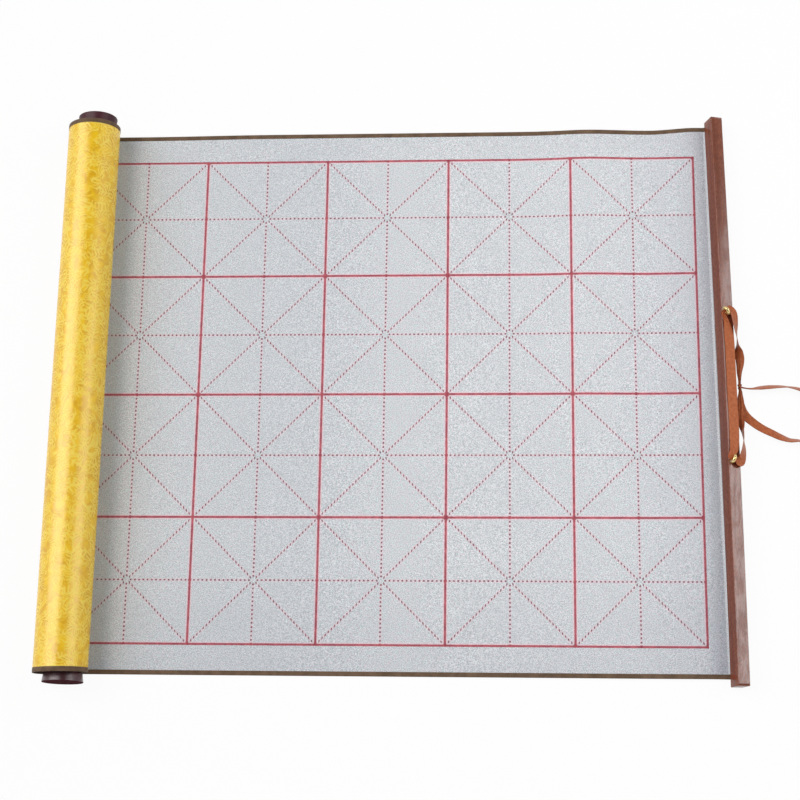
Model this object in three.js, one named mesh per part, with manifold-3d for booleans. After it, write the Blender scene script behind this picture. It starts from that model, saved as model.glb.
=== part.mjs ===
// Water writing cloth: a practice scroll lying half open on a table.
// Millimetres, +Z up. X runs along the cloth from the roll to the stay, Y across it, far side positive.
import * as THREE from "three";
import { mergeVertices } from "three/addons/utils/BufferGeometryUtils.js";
import Module from "manifold-3d";

const wasm = await Module();
wasm.setup();

// Cloth: a grey writing face glued on a brocade back, both edges bound with folded tape.
const CLOTH_WIDTH = 430;
const FLAT_RUN = 485.7;
const CLOTH_THICK = 0.25;
const BROCADE_THICK = 0.2;
const TAPE_THICK = 0.1;
const TAPE_FRONT = 3.5;
const TAPE_BACK = 3.6;
const GLUE_LINE = 0.02;
const TAPE_GAP = 0.03;

// Roll: one loose outer turn round the tighter turns wound on the roller.
const ROLL_RADIUS = 20.9;
const TURN_PITCH = 1.15;
const TURN_STEPS = 48;
const WOUND_TURNS = 4.8;
const WOUND_PITCH = 1.15;
const WOUND_STEPS = 20;
const ROLLER_SHIFT = 1.6;
const ROLLER_DROP = 1.6;

// Roller: a wooden dowel with a turned knob pegged into each end.
const DOWEL_RADIUS = 10;
const DOWEL_CLEAR = 0.3;
const DOWEL_PROUD = 0.6;
const PEG_RADIUS = 5;
const PEG_LENGTH = 22;
const PEG_CLEAR = 0.2;
const PEG_END_SPACE = 2;
const KNOB_LENGTH = 7.6;
const KNOB_NECK_RADIUS = 14.2;
const KNOB_RIM_RADIUS = 15.2;
const KNOB_EDGE = 1.2;

// Stay: a wooden strip glued on the cloth's end, leaning outward on its lower outer edge.
const STAY_LENGTH = 442;
const STAY_WIDTH = 9.3;
const STAY_HEIGHT = 13.3;
const STAY_LEAN = 17.5;
const STAY_SKEW = 0.82;
const STAY_GLUE = 0.3;
const RISE_RUN = 45;
const RISE_STEPS = 10;
const SEAM_GAP = 0.3;

// Two brass screw eyes stand in pilot holes in the stay's top face.
const EYE_SPACING = 115;
const EYE_OFF_CENTRE = 3;
const EYE_INSET = 2.4;
const EYE_RING_RADIUS = 2.45;
const EYE_WIRE_RADIUS = 0.85;
const EYE_SHANK_RADIUS = 0.8;
const EYE_SHANK_DEPTH = 8;
const EYE_FAR_TURN = 33;
const EYE_NEAR_TURN = -20;
const PILOT_CLEAR = 0.3;

// Ribbon: flat satin, gathered to a thin bundle where it passes through the eyes.
const RIBBON_WIDTH = 7.8;
const RIBBON_THICK = 0.5;
const BUNDLE_WIDTH = 2.1;
const BUNDLE_THICK = 0.9;
const KNOT_ACROSS = 4.4;
const KNOT_ALONG = 7.4;
const KNOT_HIGH = 4.2;
const KNOT_GAP = 0.5;

const laminate = BROCADE_THICK + GLUE_LINE + CLOTH_THICK;
const edgeThick = laminate + 2 * (TAPE_THICK + TAPE_GAP);
const brocadeLow = TAPE_THICK + TAPE_GAP;
const clothLow = brocadeLow + BROCADE_THICK + GLUE_LINE;
const clothHigh = clothLow + CLOTH_THICK;
const sheetHalf = CLOTH_WIDTH / 2 - TAPE_THICK - TAPE_GAP;

const lean = THREE.MathUtils.degToRad(STAY_LEAN);
const skew = THREE.MathUtils.degToRad(STAY_SKEW);
const hingeHeight = STAY_WIDTH * Math.sin(lean) + (laminate / 2) * Math.cos(lean);
const barFloor = laminate / 2 + STAY_GLUE;
const barTop = barFloor + STAY_HEIGHT;
const stayReach =
  (barTop * Math.sin(lean) + STAY_WIDTH * Math.cos(lean)) * Math.cos(skew) +
  (STAY_LENGTH / 2) * Math.sin(skew);

const rollReach = ROLL_RADIUS - TURN_PITCH / 4;
const turnX = rollReach - (rollReach + FLAT_RUN + stayReach) / 2;
const hingeX = turnX + FLAT_RUN;
const rollerX = turnX + ROLLER_SHIFT;
const rollerZ = ROLL_RADIUS - ROLLER_DROP;
const woundRadius = DOWEL_RADIUS + DOWEL_CLEAR + edgeThick + WOUND_TURNS * WOUND_PITCH;

const fabric = (color) => new THREE.MeshStandardMaterial({ color, roughness: 0.85, metalness: 0 });
const clothMaterial = fabric(0xb9bec3);
const brocadeMaterial = fabric(0xe8be46);
const tapeMaterial = fabric(0x745c4a);
const ribbonMaterial = fabric(0xbe6e4b);
const woodMaterial = new THREE.MeshStandardMaterial({ color: 0x8a5a46, roughness: 0.6, metalness: 0 });
const dowelMaterial = new THREE.MeshStandardMaterial({ color: 0xc9a878, roughness: 0.7, metalness: 0 });
const knobMaterial = new THREE.MeshStandardMaterial({ color: 0x42262a, roughness: 0.25, metalness: 0 });
const brassMaterial = new THREE.MeshStandardMaterial({ color: 0xc8a04a, roughness: 0.3, metalness: 1 });

function named(name, geometry, material) {
  const mesh = new THREE.Mesh(geometry, material);
  mesh.name = name;
  return mesh;
}

function closedMesh(positions, index) {
  const geometry = new THREE.BufferGeometry();
  geometry.setAttribute("position", new THREE.Float32BufferAttribute(positions, 3));
  geometry.setIndex(index);
  geometry.computeVertexNormals();
  return geometry;
}

// Joins equal loops of points into a closed skin. The outline closes the two ends.
function joinLoops(loops, outline) {
  const count = outline.length;
  const positions = loops.flat(2);
  const index = [];
  for (let i = 0; i + 1 < loops.length; i++) {
    for (let j = 0; j < count; j++) {
      const a = i * count + j;
      const b = i * count + ((j + 1) % count);
      index.push(a, b, b + count, a, b + count, a + count);
    }
  }
  const last = (loops.length - 1) * count;
  for (const [a, b, c] of THREE.ShapeUtils.triangulateShape(outline, [])) {
    index.push(a, c, b);
    index.push(last + a, last + b, last + c);
  }
  return closedMesh(positions, index);
}

// A section of [across, depth] points carried along the cloth's path. Depth grows to the writing face.
function sweepCloth(section, path) {
  const loops = path.map((p) => section.map(([y, n]) => [p.x + p.nx * n, y, p.z + p.nz * n]));
  return joinLoops(loops, section.map(([y, n]) => new THREE.Vector2(y, n)));
}

const sheetSection = (low, high) => [
  [-sheetHalf, low],
  [sheetHalf, low],
  [sheetHalf, high],
  [-sheetHalf, high],
];

// Tape folded round one edge: a narrow flange in front, a wider one behind, and the fold between.
function tapeSection(side) {
  const edge = CLOTH_WIDTH / 2;
  const fold = edge - TAPE_THICK;
  const points = [
    [edge - TAPE_BACK, 0],
    [edge, 0],
    [edge, edgeThick],
    [edge - TAPE_FRONT, edgeThick],
    [edge - TAPE_FRONT, edgeThick - TAPE_THICK],
    [fold, edgeThick - TAPE_THICK],
    [fold, TAPE_THICK],
    [edge - TAPE_BACK, TAPE_THICK],
  ];
  return side > 0 ? points : points.map(([y, n]) => [-y, n]).reverse();
}

// Turns of cloth listed from the inside out, ending at the bottom and heading along the flat run.
function spiralPath(centreX, centreZ, radius, pitch, turns, stepsPerTurn) {
  const path = [];
  const steps = Math.round(turns * stepsPerTurn);
  for (let i = steps; i >= 0; i--) {
    const turned = i / stepsPerTurn;
    const angle = 2 * Math.PI * turned;
    const r = radius - pitch * turned;
    const nx = Math.sin(angle);
    const nz = Math.cos(angle);
    path.push({ x: centreX - r * nx, z: centreZ - r * nz, nx, nz });
  }
  return path;
}

// The flat run lies on the table, then rises in a soft curve to the stay's lower inner edge.
function flatPath() {
  const start = hingeX - RISE_RUN;
  const rise = hingeHeight - edgeThick / 2;
  const end = RISE_RUN - SEAM_GAP;
  const path = [{ x: turnX + SEAM_GAP, z: 0, nx: 0, nz: 1 }];
  for (let i = 0; i <= RISE_STEPS; i++) {
    const s = i / RISE_STEPS;
    const slope = (rise * 6 * s * (1 - s)) / end;
    const length = Math.hypot(1, slope);
    path.push({
      x: start + end * s,
      z: rise * s * s * (3 - 2 * s),
      nx: -slope / length,
      nz: 1 / length,
    });
  }
  return path;
}

// The stay is glued on slightly askew, so the last stretch of the cloth runs out to meet it.
function skewEnd(geometry) {
  const position = geometry.attributes.position;
  for (let i = 0; i < position.count; i++) {
    const x = position.getX(i);
    const share = THREE.MathUtils.clamp((x - hingeX + RISE_RUN) / RISE_RUN, 0, 1);
    position.setX(i, x - Math.tan(skew) * position.getY(i) * share);
  }
  geometry.computeVertexNormals();
  return geometry;
}

// A flat ribbon through hand-placed points: x, y, z, width, thickness and the angle it stands on edge.
function ribbon(points, steps) {
  const curve = new THREE.CatmullRomCurve3(points.map((p) => new THREE.Vector3(p[0], p[1], p[2])));
  const up = new THREE.Vector3(0, 0, 1);
  const corners = [[-1, -1], [1, -1], [1, 1], [-1, 1]];
  const loops = [];
  for (let i = 0; i <= steps; i++) {
    const t = i / steps;
    const k = Math.min(Math.floor(t * (points.length - 1)), points.length - 2);
    const f = t * (points.length - 1) - k;
    const [width, thick, stand] = [3, 4, 5].map((c) => points[k][c] * (1 - f) + points[k + 1][c] * f);
    const centre = curve.getPoint(t);
    const along = curve.getTangent(t);
    const level = along.clone().cross(up).normalize();
    const side = level.applyAxisAngle(along, THREE.MathUtils.degToRad(stand)).multiplyScalar(width / 2);
    const face = along.clone().cross(side).normalize().multiplyScalar(thick / 2);
    const corner = ([s, n]) => centre.clone().addScaledVector(side, s).addScaledVector(face, n);
    loops.push(corners.map((c) => corner(c).toArray()));
  }
  return joinLoops(loops, corners.map(([a, b]) => new THREE.Vector2(a, b)));
}

function toSolid(geometry) {
  const bare = geometry.clone();
  bare.deleteAttribute("normal");
  bare.deleteAttribute("uv");
  const merged = mergeVertices(bare, 1e-4);
  return new wasm.Manifold(
    new wasm.Mesh({
      numProp: 3,
      vertProperties: new Float32Array(merged.attributes.position.array),
      triVerts: new Uint32Array(merged.index.array),
    }),
  );
}

function fromSolid(solid) {
  const mesh = solid.getMesh();
  return closedMesh(Array.from(mesh.vertProperties), Array.from(mesh.triVerts));
}

// Flat run, fixed to the table.
const sheet = new THREE.Group();
const flat = flatPath();
const flatPiece = (name, section, material) => {
  sheet.add(named(name, skewEnd(sweepCloth(section, flat)), material));
};
flatPiece("brocade_flat", sheetSection(brocadeLow, brocadeLow + BROCADE_THICK), brocadeMaterial);
flatPiece("writing_cloth_flat", sheetSection(clothLow, clothHigh), clothMaterial);
flatPiece("far_tape_flat", tapeSection(1), tapeMaterial);
flatPiece("near_tape_flat", tapeSection(-1), tapeMaterial);

// Outer turn, which travels with the roll without spinning.
const outerTurn = new THREE.Group();
const turn = spiralPath(turnX, ROLL_RADIUS, ROLL_RADIUS, TURN_PITCH, 1, TURN_STEPS);
const turnPiece = (name, section, material) => {
  outerTurn.add(named(name, sweepCloth(section, turn), material));
};
turnPiece("brocade_turn", sheetSection(brocadeLow, brocadeLow + BROCADE_THICK), brocadeMaterial);
turnPiece("writing_cloth_turn", sheetSection(clothLow, clothHigh), clothMaterial);
turnPiece("far_tape_turn", tapeSection(1), tapeMaterial);
turnPiece("near_tape_turn", tapeSection(-1), tapeMaterial);

// Turns wound on the dowel, which spin with it.
const roller = new THREE.Group();
const wound = spiralPath(rollerX, rollerZ, woundRadius, WOUND_PITCH, WOUND_TURNS, WOUND_STEPS);
roller.add(named("wound_cloth", sweepCloth(sheetSection(brocadeLow, clothHigh), wound), clothMaterial));
roller.add(named("far_tape_wound", sweepCloth(tapeSection(1), wound), tapeMaterial));
roller.add(named("near_tape_wound", sweepCloth(tapeSection(-1), wound), tapeMaterial));

const dowelEnd = CLOTH_WIDTH / 2 + DOWEL_PROUD;
const socketFloor = dowelEnd - PEG_LENGTH - PEG_END_SPACE;
const socketRadius = PEG_RADIUS + PEG_CLEAR;
const dowelProfile = [
  [0, -socketFloor],
  [socketRadius, -socketFloor],
  [socketRadius, -dowelEnd],
  [DOWEL_RADIUS, -dowelEnd],
  [DOWEL_RADIUS, dowelEnd],
  [socketRadius, dowelEnd],
  [socketRadius, socketFloor],
  [0, socketFloor],
];
const turned = (profile, segments) =>
  new THREE.LatheGeometry(profile.map(([r, y]) => new THREE.Vector2(r, y)), segments);
const dowel = named("roller_dowel", turned(dowelProfile, 32), dowelMaterial);
dowel.position.set(rollerX, 0, rollerZ);
roller.add(dowel);

const knobProfile = [
  [0, -PEG_LENGTH],
  [PEG_RADIUS, -PEG_LENGTH],
  [PEG_RADIUS, 0],
  [KNOB_NECK_RADIUS, 0],
  [KNOB_RIM_RADIUS, KNOB_LENGTH - KNOB_EDGE],
  [KNOB_RIM_RADIUS - 0.3 * KNOB_EDGE, KNOB_LENGTH - 0.3 * KNOB_EDGE],
  [KNOB_RIM_RADIUS - KNOB_EDGE, KNOB_LENGTH],
  [0, KNOB_LENGTH],
];
for (const [name, side] of [["far_knob", 1], ["near_knob", -1]]) {
  const knob = named(name, turned(knobProfile, 36), knobMaterial);
  knob.position.set(rollerX, side * dowelEnd, rollerZ);
  knob.rotation.x = side > 0 ? 0 : Math.PI;
  roller.add(knob);
}

// Stay, turned about the line where the cloth leaves its lower inner edge.
const stay = new THREE.Group();
stay.position.set(hingeX, 0, hingeHeight);
stay.rotation.set(0, lean, skew, "ZYX");

const tab = new THREE.BoxGeometry(STAY_WIDTH - SEAM_GAP, CLOTH_WIDTH, laminate);
tab.translate((STAY_WIDTH + SEAM_GAP) / 2, 0, 0);
stay.add(named("end_tab", tab, clothMaterial));

const eyes = [
  { name: "far_eye", y: EYE_OFF_CENTRE + EYE_SPACING / 2, turn: EYE_FAR_TURN },
  { name: "near_eye", y: EYE_OFF_CENTRE - EYE_SPACING / 2, turn: EYE_NEAR_TURN },
];
const eyeCentre = barTop + PILOT_CLEAR + EYE_WIRE_RADIUS + EYE_RING_RADIUS;
const pilotRadius = EYE_SHANK_RADIUS + PILOT_CLEAR;
const pilotDepth = EYE_SHANK_DEPTH + PILOT_CLEAR;

const bar = new THREE.BoxGeometry(STAY_WIDTH, STAY_LENGTH, STAY_HEIGHT);
bar.translate(STAY_WIDTH / 2, 0, barFloor + STAY_HEIGHT / 2);
let barSolid = toSolid(bar);
for (const eye of eyes) {
  const pilot = new THREE.CylinderGeometry(pilotRadius, pilotRadius, 2 * pilotDepth, 16);
  pilot.rotateX(Math.PI / 2);
  pilot.translate(EYE_INSET, eye.y, barTop);
  barSolid = barSolid.subtract(toSolid(pilot));
}
stay.add(named("stay_bar", fromSolid(barSolid), woodMaterial));

for (const eye of eyes) {
  const ring = new THREE.TorusGeometry(EYE_RING_RADIUS, EYE_WIRE_RADIUS, 10, 20);
  ring.rotateY(Math.PI / 2);
  ring.rotateZ(THREE.MathUtils.degToRad(eye.turn));
  ring.translate(EYE_INSET, eye.y, eyeCentre);
  const shankLength = eyeCentre - EYE_RING_RADIUS - barTop + EYE_SHANK_DEPTH;
  const shank = new THREE.CylinderGeometry(EYE_SHANK_RADIUS, EYE_SHANK_RADIUS, shankLength, 12);
  shank.rotateX(Math.PI / 2);
  shank.translate(EYE_INSET, eye.y, barTop - EYE_SHANK_DEPTH + shankLength / 2);
  stay.add(named(eye.name, fromSolid(toSolid(ring).add(toSolid(shank))), brassMaterial));
}

// Ribbon loop: from the knot up to the far eye, along the stay's top, through the near eye and back.
const knot = { x: STAY_WIDTH + 6.5, y: 4.9, z: 6 };
const ribbonBed = barTop + PILOT_CLEAR + RIBBON_THICK / 2;
const runX = STAY_WIDTH - RIBBON_WIDTH / 2;
const outer = STAY_WIDTH;
const [farY, nearY] = eyes.map((eye) => eye.y);
const knotHalf = KNOT_ALONG / 2 + KNOT_GAP;
const eyeStep = (eye, distance) => {
  const angle = THREE.MathUtils.degToRad(eye.turn);
  return [EYE_INSET + distance * Math.cos(angle), eye.y + distance * Math.sin(angle)];
};
const full = [RIBBON_WIDTH, RIBBON_THICK];
const gathered = [BUNDLE_WIDTH, BUNDLE_THICK];
const half = [(RIBBON_WIDTH + BUNDLE_WIDTH) / 2, (RIBBON_THICK + BUNDLE_THICK) / 2];
const loopPoints = [
  [knot.x, knot.y + knotHalf, knot.z, ...half, 30],
  [outer + 6.7, knot.y + 16.5, barTop - 5.6, ...half, 35],
  [outer + 5.4, farY - 29.5, barTop - 4, ...half, 60],
  [outer + 3.4, farY - 18.6, barTop - 1.4, ...half, 85],
  [outer + 1, farY - 8, barTop + 2.2, ...half, 45],
  [outer - 1, farY - 1.2, eyeCentre, ...gathered, 20],
  [...eyeStep(eyes[0], 3), eyeCentre + 0.4, ...gathered, 0],
  [...eyeStep(eyes[0], 0), eyeCentre, ...gathered, 0],
  [...eyeStep(eyes[0], -2.6), eyeCentre - 0.8, ...gathered, 0],
  [EYE_INSET + 0.8, farY - 7, ribbonBed + 0.6, ...half, 0],
  [runX, farY - 17, ribbonBed, ...full, 0],
  [runX, (farY + nearY) / 2, ribbonBed, ...full, 0],
  [runX, nearY + 17, ribbonBed, ...full, 0],
  [EYE_INSET + 0.8, nearY + 7, ribbonBed + 0.6, ...half, 0],
  [...eyeStep(eyes[1], -2.6), eyeCentre - 0.8, ...gathered, 0],
  [...eyeStep(eyes[1], 0), eyeCentre, ...gathered, 0],
  [...eyeStep(eyes[1], 3), eyeCentre + 0.4, ...gathered, 0],
  [outer - 1.2, nearY - 1.6, eyeCentre, ...gathered, 20],
  [outer + 2.2, nearY + 4.4, barTop + 2, ...half, 45],
  [outer + 4.4, nearY + 12, barTop - 0.4, ...half, 75],
  [outer + 5, nearY + 23.4, barTop - 3.2, ...half, 85],
  [outer + 5, nearY + 35.4, barTop - 5.2, ...half, 40],
  [outer + 6.2, nearY + 47, barTop - 6.6, ...half, 30],
  [knot.x, knot.y - knotHalf, knot.z, ...half, 30],
];
stay.add(named("ribbon_loop", ribbon(loopPoints, 80), ribbonMaterial));

const knotBall = new THREE.SphereGeometry(0.5, 14, 10);
knotBall.scale(KNOT_ACROSS, KNOT_ALONG, KNOT_HIGH);
knotBall.translate(knot.x, knot.y, knot.z);
stay.add(named("ribbon_knot", knotBall, ribbonMaterial));

// Ribbon tails: loose on the table, from the knot out past the stay.
stay.updateMatrix();
const knotAt = new THREE.Vector3(knot.x, knot.y, knot.z).applyMatrix4(stay.matrix);
const bed = RIBBON_THICK / 2;
const tailStart = knotAt.x + KNOT_ACROSS / 2 + KNOT_GAP;
const tailPoint = (x, y, z = bed) => [tailStart + x, knotAt.y + y, z, ...full, 0];
const firstTail = [
  [tailStart, knotAt.y - 1, knotAt.z - 0.6, ...half, 0],
  tailPoint(5.6, -1.9, 1.2),
  tailPoint(12.5, -1.1),
  tailPoint(19.4, -0.4),
  tailPoint(28, -0.1),
  tailPoint(33, -0.4),
  tailPoint(42.7, -2.4),
  tailPoint(56, -8.5),
  tailPoint(70, -19),
  tailPoint(80, -33),
  tailPoint(86, -52),
  tailPoint(88, -76),
  tailPoint(88, -102),
  tailPoint(85, -126),
];
const secondTail = [
  [knotAt.x + 0.8, knotAt.y - 3.4, 1.6, ...half, 0],
  [knotAt.x + 0.6, knotAt.y - 11, 0.8, ...half, 0],
  tailPoint(0.6, -21.1),
  tailPoint(7.9, -28.6),
  tailPoint(13.7, -32.6),
  tailPoint(20.2, -36),
  tailPoint(26.8, -39.4),
  tailPoint(33.4, -41.8),
  tailPoint(41.4, -42.3),
  tailPoint(53, -46.3),
  tailPoint(62.4, -56.3),
  tailPoint(66.4, -72.3),
  tailPoint(66.4, -94.3),
  tailPoint(62.4, -116.3),
  tailPoint(55.4, -140.3),
];
sheet.add(named("ribbon_tail_first", ribbon(firstTail, 36), ribbonMaterial));
sheet.add(named("ribbon_tail_second", ribbon(secondTail, 36), ribbonMaterial));

// Least space between neighbouring turns, measured point to point from one turn's skin to the next.
function leastTurnGap(path, stepsPerTurn) {
  let least = Infinity;
  for (let i = 0; i + stepsPerTurn < path.length; i++) {
    const inner = path[i];
    const outside = path[i + stepsPerTurn];
    const dx = outside.x + outside.nx * edgeThick - inner.x;
    const dz = outside.z + outside.nz * edgeThick - inner.z;
    least = Math.min(least, Math.hypot(dx, dz));
  }
  return least;
}

const axis = new THREE.Vector3(-Math.sin(skew), Math.cos(skew), 0);
const outerTurnLength = 2 * Math.PI * (ROLL_RADIUS - TURN_PITCH / 2);
const woundLength = 2 * Math.PI * WOUND_TURNS * (woundRadius - (WOUND_PITCH * WOUND_TURNS) / 2);
const curveLength = (points) =>
  new THREE.CatmullRomCurve3(points.map((p) => new THREE.Vector3(p[0], p[1], p[2]))).getLength();
console.log("least gap between wound turns", leastTurnGap(wound, WOUND_STEPS).toFixed(3));
console.log("least gap in the outer turn", leastTurnGap(turn, TURN_STEPS).toFixed(3));
console.log("roller axis", rollerX.toFixed(3), rollerZ.toFixed(3), "wound radius", woundRadius.toFixed(3));
console.log("stay hinge", hingeX.toFixed(3), hingeHeight.toFixed(3), "axis", axis.x.toFixed(5), axis.y.toFixed(5));
console.log("cloth lengths", FLAT_RUN, outerTurnLength.toFixed(1), woundLength.toFixed(1));
console.log(
  "ribbon lengths",
  [loopPoints, firstTail, secondTail].map((points) => curveLength(points).toFixed(1)).join(" "),
);

const scroll = new THREE.Group();
scroll.add(sheet, outerTurn, roller, stay);
export default scroll;
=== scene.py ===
import math

import bpy
import numpy as np
from mathutils import Matrix, Vector


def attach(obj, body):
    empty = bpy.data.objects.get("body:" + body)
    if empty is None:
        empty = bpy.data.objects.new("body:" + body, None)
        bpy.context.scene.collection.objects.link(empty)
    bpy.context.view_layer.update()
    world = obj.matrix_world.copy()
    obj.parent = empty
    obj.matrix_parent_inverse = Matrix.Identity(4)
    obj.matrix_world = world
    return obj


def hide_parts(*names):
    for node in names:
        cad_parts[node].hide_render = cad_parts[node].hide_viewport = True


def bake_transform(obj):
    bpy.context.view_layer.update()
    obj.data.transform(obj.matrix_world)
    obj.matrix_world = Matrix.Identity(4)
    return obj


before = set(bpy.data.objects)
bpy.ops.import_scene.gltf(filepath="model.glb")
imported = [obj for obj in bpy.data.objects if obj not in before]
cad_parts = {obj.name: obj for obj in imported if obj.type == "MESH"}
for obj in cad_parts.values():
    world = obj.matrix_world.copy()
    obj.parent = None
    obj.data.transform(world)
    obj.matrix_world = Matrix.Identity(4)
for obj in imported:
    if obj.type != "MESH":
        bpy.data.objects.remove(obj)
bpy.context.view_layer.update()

# Camera: high over the near edge of the cloth, tipped a little toward the far edge.
# Its place and lens come from the printed squares, which are all the same size.
def placed(name, data):
    """A new object in the scene."""
    thing = bpy.data.objects.new(name, data)
    bpy.context.scene.collection.objects.link(thing)
    return thing


camera_place = (0.083479, -0.346652, 1.283200)
camera_right = (0.99822, 0.01456, -0.05776)
camera_up = (0.00082, 0.96620, 0.25778)
camera_back = (0.05957, -0.25737, 0.96448)
camera_data = bpy.data.cameras.new("photo_camera")
camera_data.lens = 78.09
camera_data.sensor_width = 36.0
camera_data.clip_end = 60.0
camera = placed("photo_camera", camera_data)
camera.matrix_world = Matrix(
    [*zip(camera_right, camera_up, camera_back, camera_place), (0.0, 0.0, 0.0, 1.0)]
)
bpy.context.scene.camera = camera

# Writing cloth: grey coated cloth printed with red practice squares, glued to the brocade.
# It lies flat from the roll to the stay, goes once round the roll and is wound on the roller.
# Painted shade makes its margins a little greyer than its middle, and more so beside the roll and by the
# stay.
mm = 0.001
cloth_edge, cloth_half = 215.0, 214.6
cloth_under, cloth_over = 0.35, 0.60
roll_x, roll_radius, turn_pitch = -240.639, 20.9, 1.15
stay_x, stay_seam = 245.061, 1.6
stay_skew = math.radians(0.82)
rise_run = 45.0


def ramp(value, start, end):
    """Goes from 0 at the start to 1 at the end, easing in and out."""
    t = np.clip((value - start) / (end - start), 0.0, 1.0)
    return t * t * (3.0 - 2.0 * t)


def cloth_height(x, y):
    """How high the cloth's back lies. Its slope is too slight to see.
    It has a low ridge, a curled far edge, and a swell just before the stay."""
    slope, swell = 1.4, 0.9
    ridge_high, ridge_x, ridge_spread = 3.0, 150.0, 27.0
    curl_high = 2.0
    at_stay = 1.9 - 0.45 * ramp(y, -60.0, -210.0) - 0.2 * ramp(y, 120.0, 210.0)
    past_stay = x - stay_x
    rise = slope * ramp(x, -192.0, 190.0)
    rise = rise + (at_stay + swell - slope) * ramp(past_stay, -60.0, -14.0)
    rise = rise - swell * ramp(past_stay, -14.0, -1.0)
    ridge = ridge_high * ramp(y, -130.0, 215.0) * np.exp(-(((x - ridge_x) / ridge_spread) ** 2))
    curl = curl_high * ramp(y, 190.0, 215.0) * ramp(x, -205.0, -105.0) * ramp(x, 235.0, 175.0)
    return rise + ridge + curl


def skewed(x, y):
    """The stay is glued on slightly askew, so the last stretch of cloth runs out to meet it."""
    return x - math.tan(stay_skew) * y * np.clip((x - stay_x + rise_run) / rise_run, 0.0, 1.0)


def drawn(x, y):
    """The far corner was drawn outward a little when it was glued to the stay."""
    corner_out = 2.5
    return y + corner_out * ramp(x, 196.0, 242.0) * ramp(y, 100.0, 210.0)


def flat_loops(section, stations):
    """A section of (across, depth) points laid along the flat run."""
    across, depth = np.array(section, float).T
    x = np.array(stations, float)[:, None] + 0.0 * across
    y = across + 0.0 * x
    return np.stack([skewed(x, y), drawn(x, y), cloth_height(x, y) + depth], axis=2)


def turn_loops(section, centre, radius, pitch, turns, steps, ease=0.0, stray=0.0):
    """The same section carried round a roll from the inside out; depth grows toward the middle.
    Ease is how unevenly slack the turn is, and stray is how far its edges wander along the roll."""
    across, depth = np.array(section, float).T
    turned = np.linspace(turns, 0.0, steps + 1)[:, None]
    angle = 2.0 * math.pi * turned
    lumps = np.sin(2.0 * angle + 0.8) + 0.7 * np.sin(across / 47.0 + angle)
    slack = ease * (1.0 - np.cos(angle)) * lumps
    r = radius - pitch * turned + slack - depth
    x = centre[0] - r * np.sin(angle)
    z = centre[1] - r * np.cos(angle)
    edge_share = 0.66 - 0.34 * across / cloth_edge
    strayed = stray * edge_share * np.sin(math.pi * np.clip(1.2 * turned, 0.0, 1.0))
    return np.stack([x, across - strayed, z], axis=2)


def outer_turn_loops(section, steps):
    """The one turn that lies round the outside of the roll."""
    centre = (roll_x, roll_radius)
    return turn_loops(section, centre, roll_radius, turn_pitch, 1.0, steps, ease=0.07, stray=2.2)


def lengths_along(points):
    step = np.linalg.norm(np.diff(points, axis=0), axis=1)
    return np.concatenate([[0.0], np.cumsum(step)])


def run_places(loops):
    """Where each point lies on the unrolled cloth, along and across, for weave and print."""
    along = lengths_along(loops.mean(axis=1)[:, [0, 2]])
    place = np.zeros_like(loops)
    place[:, :, 0] = (along - along[-1])[:, None]
    place[:, :, 1] = loops[:, :, 1]
    return place


def joined_loops(name, loops, places=None, smooth_angle=40.0, ring=False):
    """Joins equal loops of points, in millimetres, into one closed skin."""
    count, size = loops.shape[:2]
    points = loops.reshape(-1, 3) * mm
    faces = []
    for i in range(count if ring else count - 1):
        low, high = i * size, ((i + 1) % count) * size
        for j in range(size):
            k = (j + 1) % size
            faces.append((low + j, low + k, high + k, high + j))
    if not ring:
        faces.append(tuple(range(size))[::-1])
        faces.append(tuple(range((count - 1) * size, count * size)))
    mesh = bpy.data.meshes.new(name)
    mesh.from_pydata(points.tolist(), [], faces)
    mesh.shade_smooth()
    mesh.set_sharp_from_angle(angle=math.radians(smooth_angle))
    if places is not None:
        attribute = mesh.attributes.new("weave_place", "FLOAT_VECTOR", "POINT")
        attribute.data.foreach_set("vector", (places.reshape(-1, 3) * mm).astype(np.float32).ravel())
    mesh.update()
    return placed(name, mesh)


def woven_piece(name, loops, smooth_angle=40.0):
    return joined_loops(name, loops, run_places(loops), smooth_angle)


def sheet_section(under, over, divisions):
    y = np.linspace(-cloth_half, cloth_half, divisions + 1)
    low = [(v, under) for v in y]
    high = [(v, over) for v in y[::-1]]
    return low + high


def tint(red, green, blue):
    """A colour written as it shows on a screen, for a shader."""
    value = np.array([red, green, blue], float) / 255.0
    value = np.where(value <= 0.04045, value / 12.92, ((value + 0.055) / 1.055) ** 2.4)
    return (*value.tolist(), 1.0)


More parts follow.
